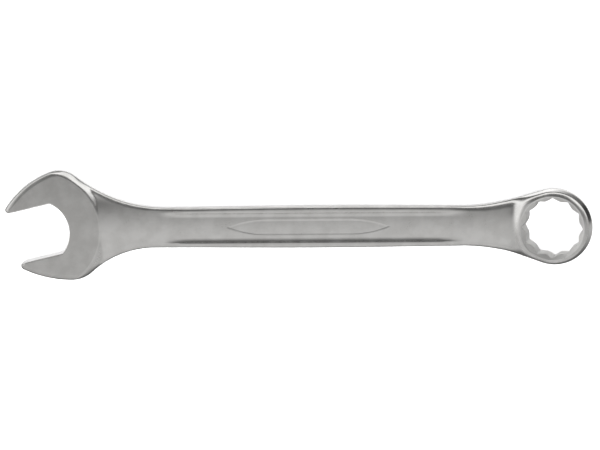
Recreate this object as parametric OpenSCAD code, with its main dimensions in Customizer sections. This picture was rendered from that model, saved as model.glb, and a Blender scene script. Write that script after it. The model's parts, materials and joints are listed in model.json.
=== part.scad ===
// Combination wrench, one drop-forged piece of plated steel: an open jaw at one
// end of a hollow-faced shank and an offset 12-point ring at the other.
// X runs from the open jaw to the ring, Y is the width and Z the thickness.
// The origin is the centre of a nut held in the open jaw, on the surface that
// the wrench lies on.

/* [Size] */
// Width across flats of the nut that the jaw takes
size_af = 24; // [23:0.5:25]
// Distance from the jaw's nut centre to the ring's centre
centre_distance = 240.7; // [230:0.1:250]

/* [Open jaw] */
// Angle of the jaw from the shank
jaw_angle = 13.3; // [10:0.1:16]
// Play between the nut and the flats, over both sides
jaw_play = 0.1; // [0:0.05:0.3]
// Radius of the round throat behind the nut
throat_r = 15; // [14.6:0.05:15.3]
// Radius of the upper jaw's tip
upper_tip_r = 1.4; // [0.8:0.1:1.6]
// Radius of the lower jaw's tip
lower_tip_r = 1.9; // [1:0.1:2]
// Thickness of the head
head_t = 10.8; // [10:0.1:12]
// Radius of the ground face around the nut
face_r = 28.5; // [27:0.5:29]
// Radius of the upper jaw's outer edge
upper_jaw_r = 43; // [42:0.5:45]
// Radius of the lower jaw's outer edge
lower_jaw_r = 53.7; // [52:0.1:56]
// Radius of the upper shoulder
upper_shoulder_r = 12.1; // [11.6:0.1:12.6]
// Radius of the lower shoulder
lower_shoulder_r = 14.1; // [13.6:0.1:14.6]

/* [Shank] */
// Width of the shank at its ends
shank_w = 19.2; // [18:0.1:20]
// Thickness of the shank
shank_t = 7.6; // [7.2:0.1:8.6]
// Sideways place of the shank's axis from the nut centre
shank_y = 1.7; // [1:0.1:2]
// Radius of the upper sweep from the head into the shank
upper_neck_r = 66.8; // [62:0.1:70]
// Radius of the lower sweep from the head into the shank
lower_neck_r = 44.1; // [42:0.1:46]
// Where both sweeps from the shank towards the ring start
ring_neck_x = 198.2; // [196:0.1:199]
// Radius of both sweeps from the shank towards the ring
ring_neck_r = 85; // [80:1:90]

/* [Hollow faces] */
// Width of the flat floor of each hollow
floor_w = 8.2; // [6:0.2:9]
// Depth of each hollow
hollow_d = 0.8; // [0.5:0.1:1]
// Radius of the hollow's curved flanks
flank_r = 3.9; // [3.5:0.1:4.2]
// Where the hollow's full depth starts
hollow_start = 71; // [70:1:76]
// Where the hollow's full depth ends
hollow_end = 184; // [178:1:186]
// Radius of the hollow's run-out at each end
runout_r = 140; // [60:5:160]
// Length of the recessed panel
panel_l = 75; // [60:1:76]
// Width of the recessed panel
panel_w = 6.9; // [6:0.1:7.8]
// Depth of the recessed panel below the floor
panel_d = 0.2; // [0.1:0.1:0.5]

/* [Ring] */
// Tilt of the ring, with its far end raised
ring_tilt = 15; // [10:0.5:16]
// Outer radius of the ring
ring_r = 17.9; // [17.5:0.1:18.5]
// Thickness of the ring
ring_t = 14.3; // [13:0.1:16]
// Rounding of the ring's outer edges
ring_round = 2.8; // [1.5:0.1:2.9]
// Play between the nut and the points, over both sides
socket_play = 0.2; // [0.1:0.05:0.3]
// Depth of the lead-in at each end of the socket
lead_d = 1.7; // [1:0.1:2]
// Radius of the lead-in where it meets the ring's face
lead_r = 14.9; // [14.6:0.1:15.2]

/* [Hidden] */
$fn = 96;
STEEL = [0.70, 0.70, 0.69];
FAR = 80;
HEX = 6;
POINT_TURN = 30;
mid_z = head_t / 2;
jaw_w = size_af + jaw_play;
top_y = shank_y + shank_w / 2;
bottom_y = shank_y - shank_w / 2;

// Centres of the shoulder circles, and of the jaw circles that they blend into
upper_shoulder = [10, 16.7];
lower_shoulder = [15.45, -8.7];
upper_jaw_dir = -69.4;
lower_jaw_dir = 89.5;
upper_jaw = upper_shoulder + (upper_jaw_r - upper_shoulder_r) * heading(upper_jaw_dir);
lower_jaw = lower_shoulder + (lower_jaw_r - lower_shoulder_r) * heading(lower_jaw_dir);

// The jaw circles' centres as seen along the jaw
upper_jaw_local = turned(upper_jaw, -jaw_angle);
lower_jaw_local = turned(lower_jaw, -jaw_angle);

// Neck circles, tangent to a shoulder and to an edge of the shank
upper_neck = tangent_centre(upper_shoulder, upper_shoulder_r, upper_neck_r, top_y, 1);
lower_neck = tangent_centre(lower_shoulder, lower_shoulder_r, lower_neck_r, bottom_y, -1);

// Half the neck's thickness where it leaves the head, and where it becomes the shank
neck_h = 4.8;
neck_start = 23;
neck_end = 60;

// Ring: the height of its centre
ring_flat_r = ring_r - ring_round;
ring_z = ring_t / 2 * cos(ring_tilt) + ring_flat_r * sin(ring_tilt)
       + ring_round * (1 - cos(ring_tilt));

// Centre of the sweep towards the ring, as seen from the ring's centre, and the side of
// the ring where the straight edge that joins the two touches it
ring_sweep = [ring_neck_x - centre_distance, ring_neck_r + shank_w / 2];
ring_edge_dir = atan2(ring_sweep[1], ring_sweep[0])
              - acos((ring_neck_r + ring_r) / norm(ring_sweep));

// Where the wrench starts to bend up, and the step up to the ring's faces
ring_bend = 190;
boss_x = centre_distance - ring_r;
boss_step = 1.6;

// Height of the tool that cuts the hollows, well clear of the face
hollow_cut = 2 * hollow_d;

socket_r = (size_af + socket_play) / 2 / cos(180 / HEX);

function heading(a) = [cos(a), sin(a)];

// Centre of a circle of radius r, tangent to circle c of radius rc and resting on
// the line y = edge, above it for side 1 and below it for side -1
function tangent_centre(c, rc, r, edge, side) =
    [c[0] + sqrt(pow(r + rc, 2) - pow(edge + side * r - c[1], 2)), edge + side * r];

// Point on the line between a and b, at distance d from a
function along(a, b, d) = a + d * (b - a) / norm(b - a);

// Point p turned about the origin
function turned(p, a) = [p[0] * cos(a) - p[1] * sin(a), p[0] * sin(a) + p[1] * cos(a)];

// Point p, counted from the ring's centre with side 1, or its mirror image with side -1
function at_ring_side(p, side) = [centre_distance + p[0], shank_y + side * p[1]];

// Centre of a jaw's round tip, touching the flat and the jaw's outer circle
function tip_centre(jaw, r, tip_r, side) =
    let (y = side * (jaw_w / 2 + tip_r))
    [jaw[0] - sqrt(pow(r - tip_r, 2) - pow(y - jaw[1], 2)), y];

// Height of the ring's upper face for side 1 and lower face for side -1
function ring_face_z(x, side) =
    ring_z + side * ring_t / 2 / cos(ring_tilt) + (x - centre_distance) * tan(ring_tilt);

module disc_at(c, r) {
    translate(c)
        circle(r);
}

// Space for the nut: parallel flats, open in front, closed by the round throat
module jaw_opening() {
    intersection() {
        square([2 * FAR, jaw_w], center = true);
        union() {
            circle(throat_r);
            translate([-FAR, -jaw_w])
                square([FAR, 2 * jaw_w]);
        }
    }
}

// What lies in front of a tip's round end, for the upper jaw or the lower jaw
module tip_waste(jaw, r, tip_r, side) {
    tip = tip_centre(jaw, r, tip_r, side);
    polygon([
        tip,
        [tip[0], 0],
        [-FAR, 0],
        [-FAR, side * FAR],
        along(jaw, tip, FAR)
    ]);
}

// Everything between the two outer jaw arcs, back to the shoulders
module jaws() {
    intersection() {
        disc_at(upper_jaw, upper_jaw_r);
        disc_at(lower_jaw, lower_jaw_r);
        polygon([
            [-FAR, FAR],
            along(upper_jaw, upper_shoulder, FAR),
            upper_shoulder,
            lower_shoulder,
            along(lower_jaw, lower_shoulder, FAR),
            [-FAR, -FAR]
        ]);
    }
    disc_at(upper_shoulder, upper_shoulder_r);
    disc_at(lower_shoulder, lower_shoulder_r);
}

// The shank's plan, with the sweeps into the head and into the ring
module shank_plan() {
    difference() {
        polygon([
            upper_shoulder,
            along(upper_shoulder, upper_neck, upper_shoulder_r),
            [upper_neck[0], top_y],
            [ring_neck_x, top_y],
            at_ring_side(ring_sweep - ring_neck_r * heading(ring_edge_dir), 1),
            at_ring_side(ring_r * heading(ring_edge_dir), 1),
            at_ring_side(ring_r * heading(ring_edge_dir), -1),
            at_ring_side(ring_sweep - ring_neck_r * heading(ring_edge_dir), -1),
            [ring_neck_x, bottom_y],
            [lower_neck[0], bottom_y],
            along(lower_shoulder, lower_neck, lower_shoulder_r),
            lower_shoulder
        ]);
        disc_at(upper_neck, upper_neck_r);
        disc_at(lower_neck, lower_neck_r);
        for (side = [-1, 1])
            disc_at(at_ring_side(ring_sweep, side), ring_neck_r);
    }
}

// Plan of the whole wrench except the ring, with round jaw tips
module plan() {
    difference() {
        union() {
            jaws();
            shank_plan();
        }
        rotate(jaw_angle) {
            jaw_opening();
            tip_waste(upper_jaw_local, upper_jaw_r, upper_tip_r, 1);
            tip_waste(lower_jaw_local, lower_jaw_r, lower_tip_r, -1);
        }
    }
    rotate(jaw_angle) {
        disc_at(tip_centre(upper_jaw_local, upper_jaw_r, upper_tip_r, 1), upper_tip_r);
        disc_at(tip_centre(lower_jaw_local, lower_jaw_r, lower_tip_r, -1), lower_tip_r);
    }
}

// Head: the plan at full thickness, inside the ground face
module head() {
    linear_extrude(head_t)
        intersection() {
            plan();
            circle(face_r);
        }
}

// The thickness along the wrench, seen from the side
module side_profile() {
    polygon([
        [-FAR, mid_z + neck_h],
        [neck_start, mid_z + neck_h],
        [neck_end, mid_z + shank_t / 2],
        [ring_bend, mid_z + shank_t / 2],
        [boss_x, ring_face_z(boss_x, 1) - boss_step],
        [centre_distance, ring_face_z(centre_distance, 1) - boss_step],
        [centre_distance, ring_face_z(centre_distance, -1) + boss_step],
        [boss_x, ring_face_z(boss_x, -1) + boss_step],
        [ring_bend, mid_z - shank_t / 2],
        [neck_end, mid_z - shank_t / 2],
        [neck_start, mid_z - neck_h],
        [-FAR, mid_z - neck_h]
    ]);
}

module shank() {
    intersection() {
        linear_extrude(FAR)
            plan();
        translate([0, FAR, 0])
            rotate([90, 0, 0])
                linear_extrude(2 * FAR)
                    side_profile();
    }
}

// Cross-section of a hollow, with its floor on the sketch's X axis
module hollow_section() {
    intersection() {
        union() {
            translate([-floor_w / 2, 0])
                square([floor_w, hollow_cut]);
            for (side = [-1, 1])
                translate([side * floor_w / 2, flank_r])
                    circle(flank_r);
        }
        translate([-shank_w / 2, 0])
            square([shank_w, hollow_cut]);
    }
}

// Hollow in the upper face, running out in an arc at both ends
module hollow() {
    translate([hollow_start, 0, 0])
        rotate([90, 0, 90])
            linear_extrude(hollow_end - hollow_start)
                hollow_section();
    for (x = [hollow_start, hollow_end])
        translate([x, 0, runout_r])
            rotate([90, 0, 0])
                rotate_extrude()
                    translate([runout_r, 0])
                        rotate(90)
                            hollow_section();
}

// Lens-shaped panel, sunk into the floor of a hollow
module panel() {
    lens_r = (pow(panel_l / 2, 2) + pow(panel_w / 2, 2)) / panel_w;
    translate([(hollow_start + hollow_end) / 2, 0, -panel_d])
        linear_extrude(hollow_cut)
            intersection_for (side = [-1, 1])
                translate([0, side * (lens_r - panel_w / 2)])
                    circle(lens_r);
}

// Both faces of the shank carry the same hollow and panel
module face_cuts() {
    floor_z = shank_t / 2 - hollow_d;
    translate([0, shank_y, mid_z])
        for (side = [0, 1])
            mirror([0, 0, side])
                translate([0, 0, floor_z]) {
                    hollow();
                    panel();
                }
}

// Ring: a disc with rounded outer edges
module ring_disc() {
    inner_h = ring_t - 2 * ring_round;
    rotate_extrude() {
        translate([0, -ring_t / 2])
            square([ring_flat_r, ring_t]);
        translate([0, -inner_h / 2])
            square([ring_r, inner_h]);
        for (side = [-1, 1])
            translate([ring_flat_r, side * inner_h / 2])
                circle(ring_round);
    }
}

// Socket: twelve points, as two hexagons turned against each other, with a
// conical lead-in at each face
module socket() {
    linear_extrude(2 * ring_t, center = true)
        for (turn = [0, POINT_TURN])
            rotate(turn)
                circle(socket_r, $fn = HEX);
    for (side = [0, 1])
        mirror([0, 0, side])
            translate([0, 0, ring_t / 2 - lead_d])
                cylinder(2 * lead_d, lead_r - lead_d, lead_r + lead_d);
}

// Puts its children at the ring's centre, in the ring's tilted frame
module at_ring() {
    translate([centre_distance, shank_y, ring_z])
        rotate([0, -ring_tilt, 0])
            children();
}

module wrench() {
    color(STEEL)
        difference() {
            union() {
                head();
                shank();
                at_ring()
                    ring_disc();
            }
            face_cuts();
            at_ring()
                socket();
        }
}

wrench();
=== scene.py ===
import json
import math

import bpy
import numpy as np
from mathutils import Matrix, Vector


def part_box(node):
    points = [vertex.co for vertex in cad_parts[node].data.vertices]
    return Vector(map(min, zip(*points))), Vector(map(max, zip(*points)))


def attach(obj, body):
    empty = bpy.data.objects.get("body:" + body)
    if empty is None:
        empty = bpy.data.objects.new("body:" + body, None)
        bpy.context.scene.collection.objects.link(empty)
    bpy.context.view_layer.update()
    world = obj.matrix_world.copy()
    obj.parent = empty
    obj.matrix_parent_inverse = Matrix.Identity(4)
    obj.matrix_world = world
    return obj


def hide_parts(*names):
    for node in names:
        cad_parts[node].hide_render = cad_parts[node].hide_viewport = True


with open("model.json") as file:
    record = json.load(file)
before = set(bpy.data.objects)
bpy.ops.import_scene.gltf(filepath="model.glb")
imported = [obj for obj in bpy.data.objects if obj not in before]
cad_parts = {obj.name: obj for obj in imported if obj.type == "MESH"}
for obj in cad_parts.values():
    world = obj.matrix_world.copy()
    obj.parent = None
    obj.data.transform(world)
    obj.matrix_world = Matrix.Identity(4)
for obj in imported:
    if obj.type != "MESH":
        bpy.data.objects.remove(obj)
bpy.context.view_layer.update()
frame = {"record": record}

MM = 0.001

# ---------------------------------------------------------------------------
# Places that come from the frame, in millimetres
# ---------------------------------------------------------------------------
MOUNTS = {m["name"]: m for m in frame["record"]["mounts"]}


def mount_place(name):
    return np.array(MOUNTS[name]["pos_m"]) / MM


def mount_axis(name):
    axis = np.array(MOUNTS[name]["axis"], dtype=float)
    return axis / np.linalg.norm(axis)


BOX_LOW, BOX_HIGH = (np.array(corner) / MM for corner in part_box("wrench"))
RING = mount_place("ring_socket")
RING_AXIS = mount_axis("ring_socket")
SHANK_Y = RING[1]
FLAT_NORMAL = mount_axis("lower_jaw_flat")
JAW_ANGLE = math.atan2(-FLAT_NORMAL[0], FLAT_NORMAL[1])
HALF_JAW = -float(np.dot(mount_place("lower_jaw_flat"), FLAT_NORMAL))
MID_Z = mount_place("upper_jaw_flat")[2]

# ---------------------------------------------------------------------------
# Dimensions of the forging, in millimetres
# ---------------------------------------------------------------------------
# The open jaw, and the cosine of the angle between wall and flat normals at its tips
THROAT_R = 15
UPPER_TIP_R = 1.4
LOWER_TIP_R = 1.9
TIP_COSINE = -0.72

# Rounding of the long edges: along the jaw's flats, round the head and along the shank, with
# the stretches in which one changes to the next, and the barrel shape of the walls
FLAT_EDGE_R = 0.5
HEAD_EDGE_R = 1.9
SHANK_EDGE_R = 1.2
FLAT_EDGE_CHANGE = (-3, 3)
EDGE_CHANGE = (18, 64)
WALL_R = 12.4

# The raised round face of the head, flat in the middle and falling away towards its edge
FACE_CENTRE = (1.55, 0.45)
FACE_R = 28
FACE_FLAT_CENTRE = (3, -9)
FACE_FLAT_R = 12
FACE_DOME_R = 165
FACE_STEP_SLOPE = 0.8
FACE_EDGE_BLEND = 0.5
FACE_FOOT_BLEND = 0.5

# The shank, widest at its middle, with a hollow between two rims on each side
SHANK_W = 18.9
SHANK_BULGE = 0.47
BULGE_CENTRE = 133
BULGE_REACH = 75
RIM_H = 3.8
FLOOR_H = 3.2
FLOOR_CROWN_R = 33
FLOOR_HALF_W = 4.6
FLANK_R = 2.8
RIM_BLEND = 0.15
HOLLOW_START = (55, 71)
HOLLOW_END = (183, 203)

# The long shallow panel in each hollow
PANEL_CENTRE = 126.3
PANEL_L = 75
PANEL_W = 6.9
PANEL_TAPER = 18
PANEL_DEPTH = 0.18
PANEL_WALL = 0.35

# The crowned necks, as half thicknesses and the stretches in which they change
NECK_CROWN_R = 35
NECK_LOWEST_H = 2
NECK_SIDE_BLEND = 1.0
HEAD_NECK_H = 5.05
HEAD_NECK = (24, 60)
RING_NECK_H = 5.8
RING_NECK = (185, 220)
RING_BEND = (211, 225)

# Where a round section is cut off before it turns vertical, as a share of its radius
ROUND_LIMIT = 0.95

# The ring: its wall leans inwards above and below its middle, and a soft curved step leads up to it
RING_R = 17.9
RING_T = 14.3
RING_DRAFT = 0.25
RING_WAIST = 1
RING_DRAFT_START = (212, 230)
RING_EDGE_R = 2.6
RING_STEP = 15.7
RING_STEP_ROUND = 0.86
RING_STEP_SLOPE = 0.75
RING_STEP_EDGE_BLEND = 1.0
RING_STEP_FOOT_BLEND = 1.6

# The twelve-point socket, with rounded crests, points that are cut a little deeper and a
# 45 degree lead at each face
SOCKET_STEP = math.radians(30)
SOCKET_APOTHEM = 12.1
SOCKET_CREST_BLEND = math.radians(4)
SOCKET_CREST_GAIN = math.radians(2.8)
SOCKET_POINT_STRETCH = 1.25
LEAD_R = 14.9
SOCKET_EDGE_R = 0.25

# Each long edge as arcs: the shoulder's centre (x, distance from the shank's axis) and
# radius, the jaw's radius and the heading from shoulder to jaw centre, the neck's radius
UPPER = {"shoulder": (10, 15, 12.1), "jaw_r": 43, "heading": -69.4, "neck_r": 66.8}
LOWER = {"shoulder": (15.45, 10.4, 14.1), "jaw_r": 53.7, "heading": -89.5, "neck_r": 44.1}

# The sweep of both edges towards the ring: where it starts and its radius
RING_SWEEP_X = 198.2
RING_SWEEP_R = 85

# The mesh: grid size, passes that fit it to the surface, and limits for stable steps
CELL = 0.4665
PROJECTIONS = 4
RELAXATIONS = 3
PROBE = 0.02
LEAST_SLOPE = 0.05
LEAST_STEP = 1e-9


# ---------------------------------------------------------------------------
# Shaping functions on arrays of distances
# ---------------------------------------------------------------------------
def smooth_step(low, high, x):
    """0 up to low, 1 from high on and a smooth change between."""
    t = np.clip((x - low) / (high - low), 0, 1)
    return t * t * (3 - 2 * t)


def smooth_min(a, b, k):
    """The smaller of two values, blended where they differ by less than k."""
    h = np.maximum(k - np.abs(a - b), 0) / k
    return np.minimum(a, b) - h * h * k / 4


def smooth_max(a, b, k):
    return -smooth_min(-a, -b, k)


def round_cut(a, b, r):
    """What is inside both shapes, with its edge rounded to radius r."""
    return np.minimum(np.maximum(a, b), -r) + np.hypot(np.maximum(a + r, 0), np.maximum(b + r, 0))


def round_corner(a, b, r, c):
    """round_cut for two shapes whose outward normals are at an angle of cosine c."""
    a, b = a + r, b + r
    corner = np.sqrt(np.maximum(a * a + b * b - 2 * c * a * b, 0) / (1 - c * c))
    return np.where((a > c * b) & (b > c * a), corner, np.maximum(a, b)) - r


def beyond(x, v, start, end):
    """Positive to the left of the line from start to end."""
    return (end[0] - start[0]) * (v - start[1]) - (end[1] - start[1]) * (x - start[0])


# ---------------------------------------------------------------------------
# The forging
# ---------------------------------------------------------------------------
def edge_arcs(edge):
    """The jaw, shoulder and neck circles of one long edge, each as (x, v, radius)."""
    sx, sv, sr = edge["shoulder"]
    heading = math.radians(edge["heading"])
    reach = edge["jaw_r"] - sr
    jaw = (sx + reach * math.cos(heading), sv + reach * math.sin(heading), edge["jaw_r"])
    neck_v = SHANK_W / 2 + edge["neck_r"]
    neck_x = sx + math.sqrt((edge["neck_r"] + sr) ** 2 - (neck_v - sv) ** 2)
    return jaw, (sx, sv, sr), (neck_x, neck_v, edge["neck_r"])


def edge_distance(x, v, edge):
    """Signed distance to one long edge, with v counted outward from the shank's axis."""
    jaw, shoulder, neck = edge_arcs(edge)
    bulge = (1 - ((x - BULGE_CENTRE) / BULGE_REACH) ** 2).clip(0, 1)
    d = v - SHANK_W / 2 - SHANK_BULGE * bulge**2

    # Towards the ring: a sweep, the straight line that touches sweep and ring, the ring
    sweep_v = RING_SWEEP_R + SHANK_W / 2
    sweep_x = RING_SWEEP_X - RING[0]
    reach = math.hypot(sweep_x, sweep_v)
    normal = math.atan2(sweep_v, sweep_x) - math.acos((RING_SWEEP_R + RING_R) / reach)
    across = (x - RING[0]) * math.cos(normal) + v * math.sin(normal)
    along = (x - RING[0]) * math.sin(normal) - v * math.cos(normal)
    line_start = sweep_x * math.sin(normal) - sweep_v * math.cos(normal)
    sweep = RING_SWEEP_R - np.hypot(x - RING_SWEEP_X, v - sweep_v)
    past = x > RING_SWEEP_X
    d = np.where(past, sweep, d)
    d = np.where(past & (along > line_start), across - RING_R, d)
    d = np.where(past & (along > 0), np.hypot(x - RING[0], v) - RING_R, d)

    # Towards the jaw: the neck, the shoulder, the jaw
    d = np.where(x < neck[0], neck[2] - np.hypot(x - neck[0], v - neck[1]), d)
    on_shoulder = (beyond(x, v, shoulder, neck) > 0) & (x < neck[0])
    d = np.where(on_shoulder, np.hypot(x - shoulder[0], v - shoulder[1]) - shoulder[2], d)
    on_jaw = (beyond(x, v, jaw, shoulder) > 0) & (x < neck[0])
    return np.where(on_jaw, np.hypot(x - jaw[0], v - jaw[1]) - jaw[2], d)


def outline_distance(x, v):
    """Signed distance to the outline in plan."""
    return np.maximum(edge_distance(x, v, UPPER), edge_distance(x, -v, LOWER))


def opening_distance(x, y):
    """Signed distance to the space for the nut in the open jaw."""
    along = x * math.cos(JAW_ANGLE) + y * math.sin(JAW_ANGLE)
    across = y * math.cos(JAW_ANGLE) - x * math.sin(JAW_ANGLE)
    return np.maximum(np.abs(across) - HALF_JAW, np.minimum(along, np.hypot(x, y) - THROAT_R))


def panel_distance(x, v):
    """Signed distance, near the edge, to the long panel with pointed ends."""
    past = np.maximum(np.abs(x - PANEL_CENTRE) - (PANEL_L / 2 - PANEL_TAPER), 0) / PANEL_TAPER
    slope = PANEL_W / PANEL_TAPER * past
    return (np.abs(v) - PANEL_W / 2 * (1 - past * past)) / np.hypot(1, slope)


def round_drop(distance, radius):
    """How far a round section has dropped at a distance from its top."""
    distance = np.minimum(np.abs(distance), ROUND_LIMIT * radius)
    return radius - np.sqrt(radius**2 - distance**2)


def neck_height(x, v):
    """Half the thickness of the crowned necks."""
    centre_h = RIM_H + (HEAD_NECK_H - RIM_H) * (1 - smooth_step(*HEAD_NECK, x))
    centre_h = centre_h + (RING_NECK_H - RIM_H) * smooth_step(*RING_NECK, x)
    return smooth_max(centre_h - round_drop(v, NECK_CROWN_R), NECK_LOWEST_H, NECK_SIDE_BLEND)


def shank_height(x, v):
    """Half the thickness of the hollow-faced shank."""
    flank = round_drop(np.maximum(np.abs(v) - FLOOR_HALF_W, 0), FLANK_R)
    floor = FLOOR_H - v * v / (2 * FLOOR_CROWN_R) + flank
    floor = floor - PANEL_DEPTH * (1 - smooth_step(-PANEL_WALL, PANEL_WALL, panel_distance(x, v)))
    return smooth_min(floor, np.full_like(floor, RIM_H), RIM_BLEND)


def face_height(x, y):
    """Half the thickness of the head within its raised round face, and far less outside it."""
    from_flat = np.hypot(x - FACE_FLAT_CENTRE[0], y - FACE_FLAT_CENTRE[1]) - FACE_FLAT_R
    face = MID_Z - np.maximum(from_flat, 0) ** 2 / (2 * FACE_DOME_R)
    r = np.hypot(x - FACE_CENTRE[0], y - FACE_CENTRE[1])
    return smooth_min(face, face - FACE_STEP_SLOPE * (r - FACE_R), FACE_EDGE_BLEND)


def half_height(x, y):
    """Half the thickness of the head, necks and shank at a place in plan."""
    v = y - SHANK_Y
    neck = neck_height(x, v)
    in_shank = smooth_step(*HOLLOW_START, x) * (1 - smooth_step(*HOLLOW_END, x))
    body = neck + (shank_height(x, v) - neck) * in_shank
    return smooth_max(body, face_height(x, y), FACE_FOOT_BLEND)


def ring_place(x, y, z):
    """Places from the ring's centre: along the ring's plane, across it and up its axis."""
    dx, dz = x - RING[0], z - RING[2]
    along = dx * RING_AXIS[2] - dz * RING_AXIS[0]
    height = dx * RING_AXIS[0] + dz * RING_AXIS[2]
    return along, y - RING[1], height


def forging(x, y, z):
    """Signed distance, near the surface, to the wrench before its ring is bored."""
    v = y - SHANK_Y
    along, _, height = ring_place(x, y, z)
    in_ring = smooth_step(*RING_BEND, x)
    at = x + (RING[0] + along - x) * in_ring
    h = np.abs(z - MID_Z + (height - z + MID_Z) * in_ring)
    before_step = np.hypot(np.minimum(at - RING[0], 0), RING_STEP_ROUND * v) - RING_STEP
    ring_top = np.full_like(at, RING_T / 2)
    ring_h = smooth_min(ring_top, ring_top - RING_STEP_SLOPE * before_step, RING_STEP_EDGE_BLEND)
    top = smooth_max(half_height(at, y), ring_h, RING_STEP_FOOT_BLEND)

    barrel = h * h / (2 * WALL_R)
    draft = RING_DRAFT * (np.hypot(h, RING_WAIST) - RING_WAIST)
    wall = outline_distance(at, v) + barrel + (draft - barrel) * smooth_step(*RING_DRAFT_START, x)
    jaw_space = -opening_distance(x, y)
    tip_r = np.where(y > 0, UPPER_TIP_R, LOWER_TIP_R)
    sides = round_corner(wall, jaw_space, tip_r, TIP_COSINE)
    edge_r = HEAD_EDGE_R + (SHANK_EDGE_R - HEAD_EDGE_R) * smooth_step(*EDGE_CHANGE, x)
    edge_r = edge_r + (RING_EDGE_R - edge_r) * smooth_step(RING_NECK[0], RING[0] - RING_STEP, x)
    edge_r = FLAT_EDGE_R + (edge_r - FLAT_EDGE_R) * smooth_step(*FLAT_EDGE_CHANGE, wall - jaw_space)
    return round_cut(sides, h - top, edge_r)


def wrench_distance(x, y, z):
    """Signed distance, near the surface, to the whole wrench."""
    along, across, height = ring_place(x, y, z)
    radius = np.hypot(along, across)
    half = SOCKET_STEP / 2
    to_point = np.abs((np.arctan2(across, along) + half) % SOCKET_STEP - half)
    to_crest = SOCKET_POINT_STRETCH * np.hypot(half - to_point, SOCKET_CREST_BLEND) - SOCKET_CREST_GAIN
    points = radius * np.cos(half + to_crest) - SOCKET_APOTHEM
    depth = RING_T / 2 - np.abs(height)
    lead = (radius - (LEAD_R - depth)) * math.sqrt(0.5)
    bored = round_cut(forging(x, y, z), -np.minimum(points, lead), SOCKET_EDGE_R)

    # Nothing lies below the plane that the wrench rests on
    return np.maximum(bored, -z)


# ---------------------------------------------------------------------------
# From the distance to a mesh of even quads
# ---------------------------------------------------------------------------
CORNERS = np.array([(i, j, k) for i in (0, 1) for j in (0, 1) for k in (0, 1)])
EDGES = [(a, b) for a in range(8) for b in range(a + 1, 8) if np.abs(CORNERS[a] - CORNERS[b]).sum() == 1]


def sample_grid(low, high):
    """Distances on a regular grid that holds the whole shape."""
    axes = [np.arange(low[i], high[i] + CELL, CELL) for i in range(3)]
    field = np.empty([len(a) for a in axes], dtype=np.float32)
    y, z = np.meshgrid(axes[1], axes[2], indexing="ij")
    for i, x in enumerate(axes[0]):
        field[i] = wrench_distance(np.full_like(y, x), y, z)
    return axes, field


def surface_cells(field):
    """The cells that the surface crosses, their number in a list, and a first point in each."""
    inside = field < 0
    views = [inside[i:i - 1 or None, j:j - 1 or None, k:k - 1 or None] for i, j, k in CORNERS]
    count = sum(view.astype(np.int8) for view in views)
    cells = np.argwhere((count > 0) & (count < 8))
    number = np.full([n - 1 for n in field.shape], -1, dtype=np.int64)
    number[tuple(cells.T)] = np.arange(len(cells))
    values = np.stack([field[tuple((cells + c).T)] for c in CORNERS], axis=1)
    total = np.zeros((len(cells), 3))
    hits = np.zeros(len(cells))
    for a, b in EDGES:
        fa, fb = values[:, a], values[:, b]
        crossed = (fa < 0) != (fb < 0)
        t = np.where(crossed, fa / np.where(crossed, fa - fb, 1), 0)
        point = CORNERS[a] + t[:, None] * (CORNERS[b] - CORNERS[a])
        total += point * crossed[:, None]
        hits += crossed
    return cells, number, cells + total / hits[:, None]


def surface_quads(field, number):
    """One quad round every grid edge that the surface crosses, facing outward."""
    inside = field < 0
    quads = []
    for axis in range(3):
        b, c = (axis + 1) % 3, (axis + 2) % 3
        first = [slice(1, -1)] * 3
        second = [slice(1, -1)] * 3
        first[axis], second[axis] = slice(0, -1), slice(1, None)
        start, end = inside[tuple(first)], inside[tuple(second)]
        place = np.argwhere(start != end)
        leaving = start[tuple(place.T)]
        offset = np.array([0 if i == axis else 1 for i in range(3)])
        place = place + offset
        ring = []
        for db, dc in ((-1, -1), (0, -1), (0, 0), (-1, 0)):
            cell = place.copy()
            cell[:, b] += db
            cell[:, c] += dc
            ring.append(number[tuple(cell.T)])
        quad = np.stack(ring, axis=1)
        quad[~leaving] = quad[~leaving][:, ::-1]
        quads.append(quad)
    return np.concatenate(quads)


def gradient(points):
    """Slope of the distance at each point."""
    columns = []
    for axis in range(3):
        ahead, behind = points.copy(), points.copy()
        ahead[:, axis] += PROBE
        behind[:, axis] -= PROBE
        columns.append((wrench_distance(*ahead.T) - wrench_distance(*behind.T)) / (2 * PROBE))
    return np.stack(columns, axis=1)


def project(points):
    """Moves points onto the surface along the slope."""
    slope = gradient(points)
    square = np.maximum((slope**2).sum(axis=1), LEAST_SLOPE)
    step = (wrench_distance(*points.T) / square)[:, None] * slope
    length = np.linalg.norm(step, axis=1)[:, None]
    return points - step * np.minimum(1, CELL / np.maximum(length, LEAST_STEP))


def relax(points, quads):
    """Evens out the quads: each point moves halfway to its neighbours' mean."""
    total = np.zeros_like(points)
    count = np.zeros(len(points))
    for i in range(4):
        here, there = quads[:, i], quads[:, (i + 1) % 4]
        for start, end in ((here, there), (there, here)):
            for axis in range(3):
                total[:, axis] += np.bincount(start, points[end, axis], len(points))
            count += np.bincount(start, minlength=len(points))
    return (points + total / count[:, None]) / 2


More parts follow.
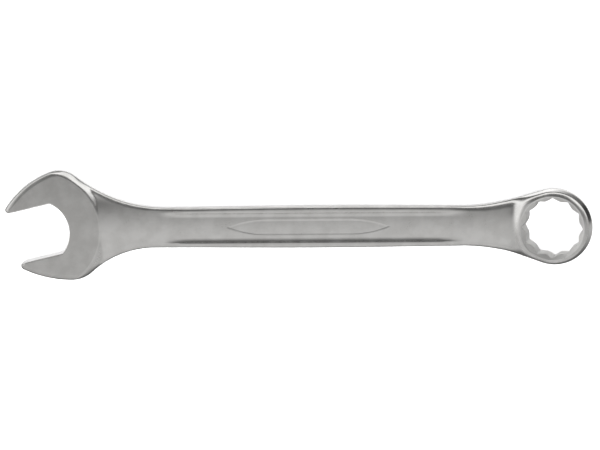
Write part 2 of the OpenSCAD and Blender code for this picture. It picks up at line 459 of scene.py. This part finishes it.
def build_mesh(name):
    """The wrench as a smooth mesh of quads, with the surface's own normals."""
    margin = 2 * CELL
    axes, field = sample_grid(BOX_LOW - margin, BOX_HIGH + margin)
    _, number, cells = surface_cells(field)
    points = np.array([a[0] for a in axes]) + CELL * cells
    quads = surface_quads(field, number)
    for _ in range(PROJECTIONS):
        points = project(points)
    for _ in range(RELAXATIONS):
        points = project(project(relax(points, quads)))
    normals = gradient(points)
    normals /= np.linalg.norm(normals, axis=1)[:, None]

    mesh = bpy.data.meshes.new(name)
    mesh.vertices.add(len(points))
    mesh.vertices.foreach_set("co", (points * MM).ravel())
    mesh.loops.add(quads.size)
    mesh.loops.foreach_set("vertex_index", quads.ravel())
    mesh.polygons.add(len(quads))
    mesh.polygons.foreach_set("loop_start", np.arange(0, quads.size, 4))
    mesh.polygons.foreach_set("use_smooth", np.ones(len(quads), dtype=bool))
    mesh.update(calc_edges=True)
    mesh.validate()
    mesh.normals_split_custom_set_from_vertices(normals)
    piece = bpy.data.objects.new(name, mesh)
    bpy.context.collection.objects.link(piece)
    print(name, len(points), "points", len(quads), "quads")
    return piece


# ---------------------------------------------------------------------------
# Material
# ---------------------------------------------------------------------------
# How upright a surface is on walls and on faces, and how sharp it is on plain edges and on sharp edges
# that are rubbed smoother and carry a painted highlight
UPRIGHT = (0.55, 0.9)
SHARPNESS = (0.52, 0.58)

# Soft edge of a mask and its margin off a surface, in millimetres; where the jaw's flats end
MASK_SOFT = 0.2
MASK_MARGIN = 0.1
FLATS_END_X = (20, 19)
DISC_MARGIN = 0.8

# Roughness of walls and faces, and how it changes on each area
WALL_ROUGH = 0.13
FACE_ROUGH = 0.33
SOCKET_ROUGH = 0.55
FLAT_POLISH = 0.05
DISC_MATTING = 0.06
EDGE_POLISH = 0.06
ROUGH_SPREAD = 0.03

# Fine grain and broad mottle: size of the lumps and their height, in metres, and strength
GRAIN = (0.0004, 0.00006, 0.18)
MOTTLE = (0.007, 0.0006, 0.05)
NOISE_RANGE = (0.3, 0.7)
NOISE_DETAIL = 3
NOISE_ROUGHNESS = 0.55

# Tone of the plating from dark to light, its painted highlight on sharp edges and its change on the
# head's face
TONE_RANGE = (0.24, 0.68)
TONE_CHANGE = 0.3
DARK_PLATING = (0.52, 0.514, 0.50, 1)
LIGHT_PLATING = (0.73, 0.724, 0.71, 1)
SOCKET_PLATING = (0.82, 0.814, 0.80, 1)
# Near-white colour on the jaw's flats and throat: a painted bright reflection
FLAT_PAINTED_REFLECTION = (0.95, 0.94, 0.93, 1)

# Sockets of a Mix node that hold colours
MIX_A = 6
MIX_B = 7
MIX_RESULT = 2


class Shading:
    """Adds nodes to a node tree in short calls."""

    def __init__(self, tree):
        self.tree = tree

    def node(self, kind, inputs=(), **settings):
        """A new node, with each input either set to a value or linked to another node's output."""
        made = self.tree.nodes.new("ShaderNode" + kind)
        for name, value in settings.items():
            setattr(made, name, value)
        for name, value in dict(inputs).items():
            if isinstance(value, bpy.types.NodeSocket):
                self.tree.links.new(value, made.inputs[name])
            else:
                made.inputs[name].default_value = value
        return made

    def math(self, operation, a, b=0.0):
        return self.node("Math", {0: a, 1: b}, operation=operation).outputs[0]

    def remap(self, value, low, high, to_low=0, to_high=1):
        """A smooth change from to_low to to_high while the value goes from low to high."""
        inputs = {"Value": value, "From Min": low, "From Max": high}
        inputs |= {"To Min": to_low, "To Max": to_high}
        return self.node("MapRange", inputs, interpolation_type="SMOOTHSTEP").outputs["Result"]

    def mix(self, share, a, b):
        """Colour a where the share is 0, colour b where it is 1."""
        inputs = {0: share, MIX_A: a, MIX_B: b}
        return self.node("Mix", inputs, data_type="RGBA").outputs[MIX_RESULT]

    def within(self, place, centre, axis, radius):
        """1 inside a round column about an axis, given in millimetres, 0 outside it."""
        centre = [MM * c for c in (*centre, 0)[:3]]
        offset = self.node("VectorMath", {0: place, 1: centre}, operation="SUBTRACT").outputs[0]
        across = self.node("VectorMath", {0: offset, 1: tuple(axis)}, operation="CROSS_PRODUCT")
        reach = self.node("VectorMath", {0: across.outputs[0]}, operation="LENGTH").outputs["Value"]
        return self.remap(reach, MM * (radius + MASK_SOFT), MM * (radius - MASK_SOFT))

    def noise(self, place, size):
        """Noise whose lumps are about size metres across."""
        inputs = {"Vector": place, "Scale": 1 / size}
        inputs |= {"Detail": NOISE_DETAIL, "Roughness": NOISE_ROUGHNESS}
        return self.node("TexNoise", inputs).outputs["Fac"]


def area_masks(make, place, facing):
    """1 on the head's raised face, in the ring's socket and on the jaw's flats and throat."""
    on_disc = make.within(place, FACE_CENTRE, (0, 0, 1), FACE_R - DISC_MARGIN)
    in_socket = make.within(place, RING, RING_AXIS, LEAD_R)

    off_flat = make.node("VectorMath", {0: place, 1: tuple(FLAT_NORMAL)}, operation="DOT_PRODUCT")
    off_flat = make.math("ABSOLUTE", off_flat.outputs["Value"])
    flat_start = MM * (HALF_JAW + MASK_MARGIN + MASK_SOFT)
    near_flat = make.remap(off_flat, flat_start, MM * (HALF_JAW + MASK_MARGIN))
    near_throat = make.within(place, (0, 0), (0, 0, 1), THROAT_R + MASK_MARGIN)
    near_opening = make.math("MAXIMUM", near_flat, near_throat)
    along = make.node("SeparateXYZ", {0: place}).outputs["X"]
    in_jaw = make.remap(along, *(MM * x for x in FLATS_END_X))
    on_flat = make.math("MULTIPLY", near_opening, in_jaw)
    on_flat = make.math("MULTIPLY", on_flat, make.math("SUBTRACT", 1, facing))
    return on_disc, in_socket, on_flat


def plated_steel():
    """Satin chrome plate: matt blasted faces, brighter rubbed walls, sharp edges painted lighter as a
    painted highlight and the jaw's flats painted near white as a painted reflection.
    """
    material = bpy.data.materials.new("satin_plated_steel")
    material.use_nodes = True
    make = Shading(material.node_tree)
    shader = material.node_tree.nodes["Principled BSDF"]
    place = make.node("TexCoord").outputs["Object"]
    geometry = make.node("NewGeometry")
    upright = make.node("SeparateXYZ", {0: geometry.outputs["Normal"]}).outputs["Z"]
    facing = make.remap(make.math("ABSOLUTE", upright), *UPRIGHT)
    edge = make.remap(geometry.outputs["Pointiness"], *SHARPNESS)
    on_disc, in_socket, on_flat = area_masks(make, place, facing)
    grain = make.noise(place, GRAIN[0])
    mottle = make.noise(place, MOTTLE[0])

    rough = make.remap(facing, 0, 1, WALL_ROUGH, FACE_ROUGH)
    rough = make.math("SUBTRACT", rough, make.math("MULTIPLY", on_flat, FLAT_POLISH))
    rough = make.math("ADD", rough, make.math("MULTIPLY", on_disc, DISC_MATTING))
    rough = make.math("MAXIMUM", rough, make.math("MULTIPLY", in_socket, SOCKET_ROUGH))
    for pattern in (mottle, grain):
        change = make.remap(pattern, *NOISE_RANGE, -ROUGH_SPREAD, ROUGH_SPREAD)
        rough = make.math("ADD", rough, change)
    rough = make.math("SUBTRACT", rough, make.math("MULTIPLY", edge, EDGE_POLISH))

    tone = make.remap(mottle, *NOISE_RANGE, *TONE_RANGE)
    # Sharp edges get a lighter colour: a painted highlight
    tone = make.math("ADD", tone, make.math("MULTIPLY", edge, TONE_CHANGE))
    tone = make.math("SUBTRACT", tone, make.math("MULTIPLY", on_disc, TONE_CHANGE))
    ramp = make.node("ValToRGB", {"Fac": tone})
    ramp.color_ramp.elements[0].color = DARK_PLATING
    ramp.color_ramp.elements[1].color = LIGHT_PLATING
    color = make.mix(in_socket, ramp.outputs["Color"], SOCKET_PLATING)
    # The jaw's flats and throat are painted near white: a painted reflection
    color = make.mix(on_flat, color, FLAT_PAINTED_REFLECTION)

    lumps = make.node("Bump", {"Height": mottle, "Distance": MOTTLE[1], "Strength": MOTTLE[2]})
    bump = make.node("Bump", {"Height": grain, "Distance": GRAIN[1], "Strength": GRAIN[2],
                              "Normal": lumps.outputs["Normal"]})
    links = material.node_tree.links
    links.new(color, shader.inputs["Base Color"])
    links.new(rough, shader.inputs["Roughness"])
    links.new(bump.outputs["Normal"], shader.inputs["Normal"])
    shader.inputs["Metallic"].default_value = 1
    return material


wrench = build_mesh("wrench_forging")
wrench.data.materials.append(plated_steel())
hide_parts("wrench")
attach(wrench, "root")


# ---------------------------------------------------------------------------
# Studio
# ---------------------------------------------------------------------------
# Brightness of the studio seen from the wrench, as (degrees from straight up, brightness)
# towards each side, from the zenith to the table below
OVERHEAD = 0.64
UNDERNEATH = 1.05
STUDIO = {
    "back": ((8, 0.54), (16, 0.46), (24, 0.36), (34, 0.22), (46, 0.14), (80, 0.15), (85, 0.7),
             (90, 1.3), (106, 1.4), (113, 0.5), (119, 0.18), (135, 0.2), (140, 0.9), (146, 1.5),
             (155, 1.4), (160, 0.4), (164, 0.35), (169, 1.1)),
    "front": ((8, 0.68), (16, 0.74), (25, 0.77), (34, 0.77), (46, 0.72), (60, 0.68), (90, 0.72),
              (105, 0.5), (120, 0.2), (172, 0.12)),
    "right": ((20, 0.66), (40, 0.62), (60, 0.6), (80, 0.6), (110, 0.6), (130, 0.65), (165, 0.7)),
    "left": ((20, 0.70), (40, 0.75), (60, 0.78), (95, 0.66), (115, 0.6), (130, 0.65), (170, 0.9)),
}
BRIGHTEST = 1.6

# How far round towards the sides the back and the front reach, as a share of the direction
SIDE_BLEND = (-0.3, 0.3)
BACK_REACH = (0.06, 0.36)
FRONT_REACH = (-0.2, -0.75)
LEAST_LEVEL = 0.001

# The studio is a little brighter above the middle than above the ends
ABOVE_MIDDLE = 1.08
ABOVE_ENDS = 0.94
MIDDLE_REACH = (0, 0.25)

# Cards round the wrench: direction, the angles where the soft edge starts and ends, brightness
CARDS = (
    ((-0.95, 0.25, 0.15), (8, 34), 1.3),
    ((0.65, 0.74, 0.14), (10, 24), 1.45),
    ((0.76, 0.17, -0.62), (6, 16), 0.06),
)

FLOOR_HALF = 1.5
FLOOR_TONE = 0.9
FLOOR_ROUGH = 0.9
LAMP_SIZE = 1.2
LAMP_POWER = 36
LAMP_PLACE = (0.1, 0.0, 1.2)

# The camera looks down at the wrench, leaning back a little and turned a little
CAMERA_AIM = (0.12247, SHANK_Y * MM + 0.00066, MID_Z * MM)
CAMERA_LEAN = math.radians(8.3)
CAMERA_ROLL = math.radians(0.38)
CAMERA_DISTANCE = 0.927
CAMERA_LENS = 118.8
CAMERA_SENSOR = 36


def grey(brightness):
    return (brightness, brightness, brightness, 1)


def brightness_of_side(make, from_zenith, stops):
    """Colour ramp from the zenith to the table for one side of the studio."""
    node = make.node("ValToRGB", {"Fac": from_zenith})
    ramp = node.color_ramp
    ramp.elements[0].color = grey(OVERHEAD / BRIGHTEST)
    ramp.elements[1].color = grey(UNDERNEATH / BRIGHTEST)
    for angle, brightness in stops:
        ramp.elements.new(angle / 180).color = grey(brightness / BRIGHTEST)
    return node.outputs["Color"]


def walls_of_studio(make, x, y, z):
    """The four sides of the studio blended into one, without the cards."""
    height = make.math("MINIMUM", make.math("MAXIMUM", z, -1), 1)
    from_zenith = make.math("DIVIDE", make.math("ARCCOSINE", height), math.pi)
    level = make.math("ADD", make.math("MULTIPLY", x, x), make.math("MULTIPLY", y, y))
    level = make.math("MAXIMUM", make.math("SQRT", level), LEAST_LEVEL)
    depth_share = make.math("DIVIDE", y, level)
    side_share = make.math("DIVIDE", x, level)

    side = {name: brightness_of_side(make, from_zenith, stops) for name, stops in STUDIO.items()}
    front_back = make.mix(make.remap(depth_share, *SIDE_BLEND), side["front"], side["back"])
    left_right = make.mix(make.remap(side_share, *SIDE_BLEND), side["left"], side["right"])
    in_back = make.remap(depth_share, *BACK_REACH)
    in_front = make.remap(depth_share, *FRONT_REACH)
    walls = make.mix(make.math("MAXIMUM", in_back, in_front), left_right, front_back)

    off_middle = make.math("ABSOLUTE", x)
    strength = make.remap(off_middle, *MIDDLE_REACH, BRIGHTEST * ABOVE_MIDDLE, BRIGHTEST * ABOVE_ENDS)
    strength = make.node("CombineColor", {0: strength, 1: strength, 2: strength}).outputs[0]
    inputs = {0: 1.0, MIX_A: walls, MIX_B: strength}
    return make.node("Mix", inputs, data_type="RGBA", blend_type="MULTIPLY").outputs[MIX_RESULT]


def studio_light():
    """Soft light from every side for the metal, and plain white behind everything."""
    world = bpy.data.worlds.new("studio")
    bpy.context.scene.world = world
    world.use_nodes = True
    make = Shading(world.node_tree)
    direction = make.node("TexCoord").outputs["Generated"]
    x, y, z = make.node("SeparateXYZ", {0: direction}).outputs
    glow = walls_of_studio(make, x, y, z)
    for centre, edge, brightness in CARDS:
        toward = make.node("VectorMath", {0: direction, 1: Vector(centre).normalized()},
                           operation="DOT_PRODUCT").outputs["Value"]
        inner, outer = (math.cos(math.radians(angle)) for angle in edge)
        glow = make.mix(make.remap(toward, outer, inner), glow, grey(brightness))
    seen = make.node("LightPath").outputs["Is Camera Ray"]
    glow = make.mix(seen, glow, grey(1))
    background = world.node_tree.nodes["Background"]
    world.node_tree.links.new(glow, background.inputs["Color"])


def floor():
    """A plain pale sheet under the wrench, which the metal doesn't mirror."""
    mesh = bpy.data.meshes.new("floor")
    corners = [(x * FLOOR_HALF, y * FLOOR_HALF, 0) for x, y in ((-1, -1), (1, -1), (1, 1), (-1, 1))]
    mesh.from_pydata(corners, [], [(0, 1, 2, 3)])
    sheet = bpy.data.objects.new("floor", mesh)
    bpy.context.collection.objects.link(sheet)
    material = bpy.data.materials.new("floor_paper")
    material.use_nodes = True
    shader = material.node_tree.nodes["Principled BSDF"]
    shader.inputs["Base Color"].default_value = grey(FLOOR_TONE)
    shader.inputs["Roughness"].default_value = FLOOR_ROUGH
    mesh.materials.append(material)
    sheet.visible_glossy = False


def lamp():
    """Lights the floor evenly; the metal takes its light from the studio around it."""
    data = bpy.data.lights.new("overhead", "AREA")
    data.size = LAMP_SIZE
    data.energy = LAMP_POWER
    light = bpy.data.objects.new("overhead", data)
    light.location = LAMP_PLACE
    light.visible_glossy = False
    bpy.context.collection.objects.link(light)


def camera():
    """Looks at the middle of the wrench, with its up and right directions turned by the roll."""
    data = bpy.data.cameras.new("camera")
    data.sensor_width = CAMERA_SENSOR
    data.lens = CAMERA_LENS
    view = bpy.data.objects.new("camera", data)
    bpy.context.collection.objects.link(view)
    back = Vector((0, math.sin(CAMERA_LEAN), math.cos(CAMERA_LEAN)))
    level_right = Vector((1, 0, 0))
    level_up = Vector((0, math.cos(CAMERA_LEAN), -math.sin(CAMERA_LEAN)))
    up = math.sin(CAMERA_ROLL) * level_right + math.cos(CAMERA_ROLL) * level_up
    right = math.cos(CAMERA_ROLL) * level_right - math.sin(CAMERA_ROLL) * level_up
    rotation = Matrix((right, up, back)).transposed().to_4x4()
    place = Vector(CAMERA_AIM) + CAMERA_DISTANCE * back
    view.matrix_world = Matrix.Translation(place) @ rotation
    bpy.context.scene.camera = view


studio_light()
floor()
lamp()
camera()
bpy.context.scene.view_settings.view_transform = "Standard"
